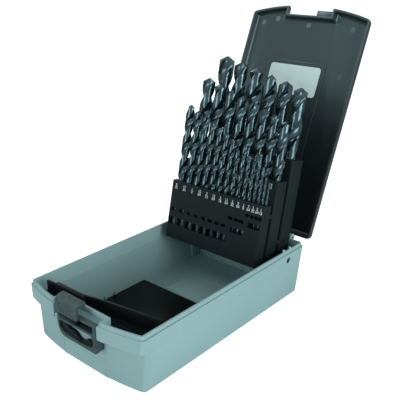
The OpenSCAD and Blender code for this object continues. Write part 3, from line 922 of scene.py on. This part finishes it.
@dataclass
class Latch:
    """The latch: a bracket with a track and a window, a sliding pad with a hook, and a spring arm."""

    outline: Outline
    left: float = -17.0
    right: float = 20.8
    bottom: float = 20.4
    top: float = 41.5
    face: float = -96.6
    seat: float = -93.2
    pad_face: float = -99.15
    pad_left: float = -14.6
    pad_w: float = 21.4
    pad_z: float = 39.6
    hook_z: float = 47.8
    hook_t: float = 3.6

    def bracket(self) -> Thing:
        """Models the bracket from its drawn front, deepened by an extrusion."""
        outline = [(self.right, self.bottom), (self.right, self.top), (self.left, self.top)]
        outline += [(self.left, 31.6), (self.left + 0.5, 27.0), (self.left + 2.0, 23.2)]
        outline += [(self.left + 4.4, 21.0), (self.left + 7.2, self.bottom)]
        plate = prism("latch_bracket", outline, self.face, self.seat)
        bevel(plate, 0.7, 3, 30)
        cut(plate, block((self.left + 2.2, -120, 34.4), (18.9, -60, 39.4), 0.6))
        cut(plate, self.window())
        cheek = block(
            (self.right - 4.0, self.seat - 0.4, self.bottom + 0.6), (self.right - 0.1, -89.6, 30.6), 0.5
        )
        return assemble("latch_bracket", [plate, cheek])

    def window(self) -> Thing:
        """Models the cutter of the lower window, wide at the left and narrow at the right."""
        outline = [(-14.4, 32.0), (-15.0, 30.6), (-14.6, 26.8), (-12.6, 24.6), (-8.0, 23.6), (6.0, 22.8)]
        outline += [(14.6, 23.6), (17.6, 24.6), (18.8, 27.2), (18.2, 30.6), (16.4, 32.6), (12.0, 32.8)]
        return prism("window", outline, -120.0, -60.0)

    def pad(self) -> Thing:
        """Models the pad with its rolled top, hook and worn hollow."""
        front, low = self.pad_face, self.pad_z
        top = self.hook_z + self.hook_t
        rear = self.outline.notch_y - 3.5
        roll = 5.0
        side = [(front + 0.3, low), (front, low + 0.8), (front, top - roll)]
        for a in (0.3, 0.6, 0.9, 1.2, 1.571):
            side.append((front + roll - roll * math.cos(a), top - roll + roll * math.sin(a)))
        side += [(rear - 0.9, top), (rear, top - 0.8), (rear, self.hook_z + 0.3), (rear - 0.4, self.hook_z)]
        side += [(front + 3.6, self.hook_z), (front + 2.5, self.hook_z - 1.0)]
        side += [(front + 2.3, low + 0.4), (front + 2.0, low)]
        ends = (self.pad_left, self.pad_left + self.pad_w)
        pad = loft("latch_pad", [[(x, y, z) for y, z in side] for x in ends])
        bevel(pad, 0.6, 3, 50)
        cut(pad, block((ends[0] + 4, front - 1.0, low + 2.2), (ends[1] - 4, front + 0.35, low + 6.0), 0.3))
        smooth(pad)
        return pad

    def foot(self) -> Thing:
        """Models the slider's black foot, which fills the track behind the pad."""
        left, right = self.pad_left + 1.6, self.pad_left + self.pad_w
        front = self.pad_face + 1.2
        foot = block((left, front, 35.0), (right - 2.9, -94.6, 39.0), 0.4)
        neck = block((left, front, 38.6), (right - 1.6, self.pad_face + 2.1, 41.0), 0.2)
        return assemble("latch_foot", [foot, neck])

    def spring(self) -> Thing:
        """Models the S-shaped spring arm with its bulb, and the black strip behind the track."""
        upper = [(-15.2, 31.6), (-10.5, 31.5), (-7.4, 30.4), (-5.6, 28.6), (-0.9, 28.5), (1.6, 27.2)]
        upper += [(3.4, 25.4), (5.2, 24.6), (7.6, 24.9), (10.0, 26.4), (12.4, 27.6), (14.8, 27.9)]
        bulb = [(16.8, 27.0), (17.2, 25.6), (15.8, 24.4), (13.2, 24.2)]
        lower = [(10.2, 23.9), (7.6, 23.5), (5.6, 22.4), (2.6, 22.1), (0.0, 23.0), (-3.4, 24.4)]
        lower += [(-7.4, 25.2), (-11.2, 25.2), (-13.6, 26.2), (-15.2, 28.0)]
        arm = prism("spring_arm", upper + bulb + lower, self.face + 1.0, self.seat - 0.2)
        bevel(arm, 0.4, 2, 30)
        strip = block(
            (self.left - 2.3, self.seat + 0.1, 34.5), (19.6, self.seat + 1.4, self.pad_z - 1.2), 0.2
        )
        return assemble("spring_arm", [arm, strip])

    def build(self) -> None:
        """Models and dresses the latch."""
        dress(self.bracket(), LATCH_GREY, "tray", "latch_plastic", "latch_frame")
        dress(self.pad(), LATCH_GREY, "slider", "latch_plastic", "latch_slider")
        dress(self.foot(), SPRING_BLACK, "slider", "spring_plastic")
        dress(self.spring(), SPRING_BLACK, "tray", "spring_plastic", "latch_spring")


# ---------------------------------------------------------------- guard and plate


@dataclass
class Guard:
    """The black guard's shelf and bar, and the plate on the floor."""

    outline: Outline
    shelf_z: float = 34.0
    bar_z: float = 43.6
    bar_t: float = 1.8
    line: tuple[Flat, ...] = (
        (-46.0, -80.2), (-38.0, -79.8), (-11.0, -77.2), (8.0, -72.6), (32.0, -68.6), (51.0, -65.2)
    )

    def bar(self) -> Thing:
        """Models the bar and its wall down to the plate, as one bent strip."""
        front = [(x, y - self.bar_t) for x, y in reversed(self.line)]
        bar = slab("guard_bar", [*self.line, *front], 3.9, self.bar_z)
        bevel(bar, 0.3)
        return bar

    def shelf(self) -> Thing:
        """Models the shelf between the bar and the front wall."""
        front = [(x, self.front_at(x)) for x in (51.2, 44, 36, 26, 23.4)]
        front += [(23.2, -85.2), (-23.2, -85.2)]
        front += [(x, self.front_at(x)) for x in (-23.4, -26, -36, -44, -51.2)]
        return slab("guard_shelf", [(-51.2, -80.4), *self.line, *front], self.shelf_z - 1.8, self.shelf_z)

    def front_at(self, x: float) -> float:
        """Gives the y of the tray's inner front wall just above the ledge."""
        middle, radius = self.outline.bow_at(0.0)
        return middle + radius - math.sqrt((radius - 3.1) ** 2 - x**2)

    def build(self) -> None:
        """Models and dresses the guard and the plate."""
        thick = block((-37, -81.8, self.shelf_z - 0.5), (-8, -78.4, self.bar_z + 0.8), 0.5)
        step = block((9, -79.2, self.shelf_z - 0.5), (50, -77.8, self.shelf_z + 0.8), 0.3)
        guard = assemble("guard", [self.bar(), self.shelf(), thick, step], 25)
        dress(guard, GUARD_BLACK, "tray", "insert_plastic", "tip_guard")
        plate = block((-49, -80, 2.2), (49, 14, 3.8), 0.4)
        smooth(plate)
        plate.name = "plate"
        dress(plate, GUARD_BLACK, "tray", "insert_plastic", "floor_plate")


# ---------------------------------------------------------------- the stand


@dataclass
class Row:
    """One tier of the stand and its row of drills, in the stand's own axes."""

    name: str
    node: str
    sizes: range
    front: float
    thickness: float
    deck: float
    base: float
    margin: float
    width: float = 91.0

    def places(self) -> dict[int, float]:
        """Spreads the drills evenly, and gives each one's x by its size in sixty-fourths."""
        bores = [k / 64 * INCH for k in self.sizes]
        gap = (self.width - 2 * self.margin - sum(bores)) / (len(bores) - 1)
        x = self.margin - self.width / 2
        found = {}
        for k, bore in zip(self.sizes, bores):
            found[k] = x + bore / 2
            x += bore + gap
        return found

    def foot(self, k: int) -> float:
        """Gives the height of a drill's lower end."""
        if self.base > -3.0 and k <= 10:
            return 5.4 if k > 7 else 15.0
        return self.base + 1.0

    def middle(self) -> float:
        """Gives the depth of the row's middle line."""
        return self.front + self.thickness / 2


def fraction(k: int) -> tuple[int, int]:
    """Reduces a size in sixty-fourths to a fraction's top and bottom."""
    shared = math.gcd(k, 64)
    return k // shared, 64 // shared


def node_of(k: int) -> str:
    """Names a drill's CAD node."""
    return "drill_%d_%d" % fraction(k)


@dataclass
class Stand:
    """The three-tier stand with its sockets, windows and size numbers."""

    rig: Rig
    pivot: Flat = (31.3, 2.4)
    lean: float = 12.0
    rows: tuple[Row, ...] = (
        Row("front_tier", "stand_front_tier", range(18, 3, -1), 0.0, 10.5, 45.0, -2.5, 1.6),
        Row("middle_tier", "stand_middle_tier", range(26, 18, -1), 13.5, 13.0, 62.5, -5.3, 2.6),
        Row("back_tier", "stand_back_tier", range(32, 26, -1), 29.5, 15.0, 78.0, -5.3, 3.1),
    )

    def upright(self) -> Matrix:
        """Gives the matrix that leans the stand back about its pivot."""
        return self.rig.stand_up(self.pivot, self.lean)

    def tier(self, row: Row) -> Thing:
        """Models one row's tier with its sockets, in the stand's own axes."""
        half = row.width / 2
        tier = block((-half, row.front, row.base), (half, row.front + row.thickness, row.deck))
        round_uprights(tier, 1.8, 5, 1.0)
        bevel(tier, 0.5, 3, 60)
        tier.name = row.name
        bores = []
        for k, x in row.places().items():
            low = row.foot(k)
            bores.append(rod((x, row.middle(), (low + 90) / 2), k / 128 * INCH + 0.1, 90 - low, "Z", 28))
        cut(tier, join("bores", bores))
        return tier

    def windows(self) -> Thing:
        """Models the cutters of the openings in the front tier's face."""
        row = self.rows[0]
        places = row.places()
        deep = row.thickness / 2
        parts = []
        for k, x in places.items():
            low = 20.4 if k > 10 else 27.8 if k > 7 else 33.8
            half = 2.3 if k > 7 else 1.5
            parts.append(block((x - half, -1, low), (x + half, deep, low + 2.4)))
        for k in range(13, 19):
            parts.append(block((places[k] - 2.9, -1, 9), (places[k] + 2.9, deep, 15)))
        parts.append(block((places[12] - 2.9, -1, 9.4), (places[11] + 4.1, deep, 15.2)))
        parts.append(block((places[10] + 1, -1, 18.5), (places[10] + 14, deep, 22.7)))
        parts.append(block((places[7] + 1.6, -1, 26), (places[7] + 12.2, deep, 30.3)))
        return join("windows", parts)

    def numbers(self, row: Row) -> Thing:
        """Prints a row's plain drill sizes along the top of its tier's face, as one flat mesh."""
        parts = []
        for k, x in row.places().items():
            top, bottom = fraction(k)
            for text, z in ((str(top), row.deck - 4.2), (str(bottom), row.deck - 6.6)):
                deselect()
                bpy.ops.object.text_add(rotation=(math.pi / 2, 0, 0))
                letter = bpy.context.object
                letter.data.body = text
                letter.data.size = 2.9 * MM
                letter.data.align_x = "CENTER"
                letter.data.extrude = 0.04 * MM
                letter.location = (x * MM, (row.front - 0.02) * MM, z * MM)
                bpy.ops.object.convert(target="MESH")
                settle(letter)
                parts.append(letter)
            low, high = row.deck - 4.55, row.deck - 4.4
            parts.append(block((x - 1.2, row.front - 0.06, low), (x + 1.2, row.front + 0.02, high)))
        return join(row.name + "_sizes", parts)

    def build(self) -> None:
        """Models and dresses the tiers and their numbers."""
        for row in self.rows:
            tier = self.tier(row)
            if row is self.rows[0]:
                cut(tier, self.windows())
            smooth(tier)
            place(tier, self.upright())
            dress(tier, STAND_BLACK, "stand", "stand_plastic", row.node)
            numbers = self.numbers(row)
            place(numbers, self.upright())
            dress(numbers, PRINT_WHITE, "stand", "label")


# ---------------------------------------------------------------- the drills


@dataclass
class Drills:
    """The twist drills: a helical two-flute body, a ground point and a plain shank."""

    stand: Stand
    helix: float = 30.0
    point: float = 118.0
    web: float = 0.16
    turn_steps: int = 26
    short: tuple[float, ...] = (1.875, 2, 2.25, 2.625, 2.75, 2.875, 3.125, 3.25)
    short_flute: tuple[float, ...] = (0.875, 1, 1.25, 1.5, 1.625, 1.75, 2, 2.125)

    def overall(self, k: int) -> float:
        """Gives a drill's overall length."""
        return INCH * (self.short[k - 4] if k < 12 else 2 + k / 8)

    def fluted(self, k: int) -> float:
        """Gives a drill's flute length."""
        return INCH * (self.short_flute[k - 4] if k < 12 else round((k - 12) * 1.75 + 37) / 16)

    def section(self, r: float) -> list[Flat]:
        """Draws the section of a radius anticlockwise: two lands with margins, two round flutes."""
        half = []
        relief = r * 0.955
        half += [(r, math.radians(a)) for a in (-44, -41, -37, -33)]
        half += [(relief, math.radians(a)) for a in (-31, -18, -4, 10, 24, 34)]
        points = [(p * math.cos(a), p * math.sin(a)) for p, a in half]
        start = Vector(points[-1])
        first = Vector((r * math.cos(math.radians(136)), r * math.sin(math.radians(136))))
        waist = Vector((-0.05 * r, self.web * r * 1.15))
        for i in range(1, 10):
            t = i / 10
            a = start.lerp(waist, t)
            b = waist.lerp(first, t)
            points.append(tuple(a.lerp(b, t)))
        return points + [(-x, -y) for x, y in points]

    def body(self, k: int) -> Thing:
        """Models the drill of k sixty-fourths of an inch, standing on z = 0 with its point up."""
        r = k / 128 * INCH
        rise = r / math.tan(math.radians(self.point / 2))
        shank = self.overall(k) - self.fluted(k)
        length = self.fluted(k) - rise
        lead = 2 * math.pi * r / math.tan(math.radians(self.helix))
        section = self.section(r)
        steps = max(8, round(self.turn_steps * length / lead))
        rings = []
        circle = [self.on_circle(p, r) for p in section]
        rings.append([(x * 0.86, y * 0.86, 0.0) for x, y in circle])
        rings.append([(x, y, 0.14 * r) for x, y in circle])
        rings.append([(x, y, shank - r) for x, y in circle])
        for i in range(steps + 1):
            height = length * i / steps
            turn = 2 * math.pi * height / lead
            blend = min(1.0, (i + 0.01) / 5)
            mixed = [
                (cx + (sx - cx) * blend, cy + (sy - cy) * blend) for (cx, cy), (sx, sy) in zip(circle, section)
            ]
            rings.append([spin(p, turn, shank + height) for p in mixed])
        end = 2 * math.pi * length / lead
        for t in (0.35, 0.7, 0.93):
            rings.append([self.on_cone(p, end, t, r, rise, shank + length) for p in section])
        return loft("drill", rings)

    def on_circle(self, p: Flat, r: float) -> Flat:
        """Moves a point of the section out to the shank's circle."""
        reach = math.hypot(*p)
        return p[0] / reach * r, p[1] / reach * r

    def on_cone(
        self, p: Flat, turn: float, t: float, r: float, rise: float, z: float
    ) -> Point:
        """Moves a point of the section in and up along the point's cone.

        Args:
            p: the point.
            turn: the section's turn in radians.
            t: how far towards the tip.
            r: the drill's radius.
            rise: the cone's height.
            z: the height of the cone's foot.

        Returns:
            The moved point.
        """
        shrink = 1.0 - t
        x, y, _ = spin((p[0] * shrink, p[1] * shrink), turn, 0.0)
        return x, y, z + rise * t * (0.9 + 0.1 * math.hypot(*p) / r)

    def build(self) -> None:
        """Models and dresses every drill in its socket."""
        for row in self.stand.rows:
            for k, x in row.places().items():
                drill = self.body(k)
                drill.name = "twist_" + node_of(k)
                seat = Matrix.Translation(Vector((x, row.middle(), row.foot(k))) * MM)
                turn = Matrix.Rotation(k * 0.7, 4, "Z")
                place(drill, self.stand.upright() @ seat @ turn)
                smooth(drill, 38)
                dress(drill, DRILL_OXIDE, "stand", "black_oxide", node_of(k))


def spin(p: Flat, angle: float, z: float) -> Point:
    """Turns a flat point about the origin and lifts it to a height."""
    c, s = math.cos(angle), math.sin(angle)
    return p[0] * c - p[1] * s, p[0] * s + p[1] * c, z


# ---------------------------------------------------------------- small CAD nodes


@dataclass
class Fittings:
    """The pins that stay as the frame has them, and take their finish."""

    nodes: dict[str, Thing]

    def build(self) -> None:
        """Dresses the pins."""
        for name, finish in (
            ("hinge_pins", PIN_STEEL),
            ("stand_pivots", STAND_BLACK),
            ("stand_tie_pins", STAND_BLACK),
        ):
            pins = self.nodes[name]
            pins.data.materials.clear()
            pins.data.materials.append(finish.build())
            LOG.info("%s keeps its CAD shape", name)


# ---------------------------------------------------------------- studio


@dataclass
class Studio:
    """The camera at the photograph's angle, soft lamps, a white world and a pale floor."""

    place_mm: Point = (287.1, -308.6, 256.7)
    azimuth: float = 40.54
    elevation: float = 21.48
    roll: float = 0.32
    focal_px: float = 635.6
    picture_px: float = 400.0
    lamp_colour: Point = (0.93, 0.99, 1.0)
    dim_colour: Point = (0.90, 0.99, 1.0)
    dim_strength: float = 0.27
    floor_lift: float = 0.84

    def camera(self) -> None:
        """Adds the camera."""
        data = bpy.data.cameras.new("camera")
        data.sensor_width = 36.0
        data.lens = self.focal_px / self.picture_px * data.sensor_width
        data.clip_start = 0.01
        camera = bpy.data.objects.new("camera", data)
        aim = Matrix.Rotation(math.radians(self.azimuth), 4, "Z")
        aim @= Matrix.Rotation(math.radians(90 - self.elevation), 4, "X")
        aim @= Matrix.Rotation(math.radians(self.roll), 4, "Z")
        camera.matrix_world = Matrix.Translation(Vector(self.place_mm) * MM) @ aim
        bpy.context.collection.objects.link(camera)
        bpy.context.scene.camera = camera

    def lamp(self, name: str, spot: Point, size: float, watts: float, aim: Point) -> None:
        """Adds a soft square lamp.

        Args:
            name: its name.
            spot: its place in metres.
            size: its side in metres.
            watts: its power.
            aim: the point that it faces.
        """
        data = bpy.data.lights.new(name, "AREA")
        data.size = size
        data.energy = watts
        data.color = self.lamp_colour
        lamp = bpy.data.objects.new(name, data)
        lamp.location = spot
        lamp.rotation_euler = (Vector(aim) - Vector(spot)).to_track_quat("-Z", "Y").to_euler()
        bpy.context.collection.objects.link(lamp)

    def world(self) -> None:
        """Makes a world that is white to the eye and in reflections, and grey as a light."""
        world = bpy.data.worlds.new("world")
        bpy.context.scene.world = world
        tree = Tree(world)
        world.node_tree.nodes.clear()
        out, mix = tree.add("OutputWorld"), tree.add("MixShader")
        dim, white = tree.add("Background"), tree.add("Background")
        dim.inputs["Color"].default_value = (*self.dim_colour, 1.0)
        dim.inputs["Strength"].default_value = self.dim_strength
        white.inputs["Strength"].default_value = 1.0
        shown = tree.rays("Is Camera Ray", "Is Transmission Ray", "Is Glossy Ray")
        tree.link(shown, mix.inputs["Fac"])
        tree.link(dim.outputs[0], mix.inputs[1])
        tree.link(white.outputs[0], mix.inputs[2])
        tree.link(mix.outputs[0], out.inputs["Surface"])

    def floor(self) -> None:
        """Adds the floor, white to the camera but for the object's shadow."""
        deselect()
        bpy.ops.mesh.primitive_plane_add(size=60.0, location=(0, 0, -0.0002))
        floor = bpy.context.object
        floor.name = "floor"
        material = bpy.data.materials.new("floor")
        tree = Tree(material)
        tree.set({"Base Color": (0.86, 0.88, 0.88, 1.0), "Roughness": 0.9})
        tree.set({"Emission Color": (1.0, 1.0, 1.0, 1.0)})
        lift = tree.add("Math")
        lift.operation = "MULTIPLY"
        lift.inputs[1].default_value = self.floor_lift
        tree.link(tree.rays("Is Camera Ray", "Is Transmission Ray"), lift.inputs[0])
        tree.link(lift.outputs[0], tree.shader().inputs["Emission Strength"])
        floor.data.materials.append(material)

    def build(self) -> None:
        """Sets up the view, the lamps, the world and the floor."""
        bpy.context.scene.view_settings.view_transform = "Standard"
        self.camera()
        self.world()
        self.floor()
        self.lamp("key", (0.85, -0.08, 0.22), 0.5, 4.9, (0, 0, 0.03))
        self.lamp("front", (-0.15, -1.0, 0.28), 0.5, 3.2, (0, -0.1, 0.02))
        self.lamp("high", (-0.62, -0.40, 0.92), 0.45, 2.6, (0, 0.1, 0.1))


def main() -> None:
    """Builds the case over its frame, sub-assembly by sub-assembly."""
    logging.basicConfig(level=logging.INFO, format="%(name)s: %(message)s")
    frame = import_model()
    rig = Rig({joint["name"]: joint for joint in frame["joints"]})
    outline = Outline()
    Studio().build()
    Tray(outline, rig).build()
    Lid(Outline(front=-87.5, back=90.3), rig).build()
    Latch(outline).build()
    Guard(outline).build()
    stand = Stand(rig)
    stand.build()
    Drills(stand).build()
    Fittings(frame["nodes"]).build()
    deselect()


if __name__ == "__main__":
    main()
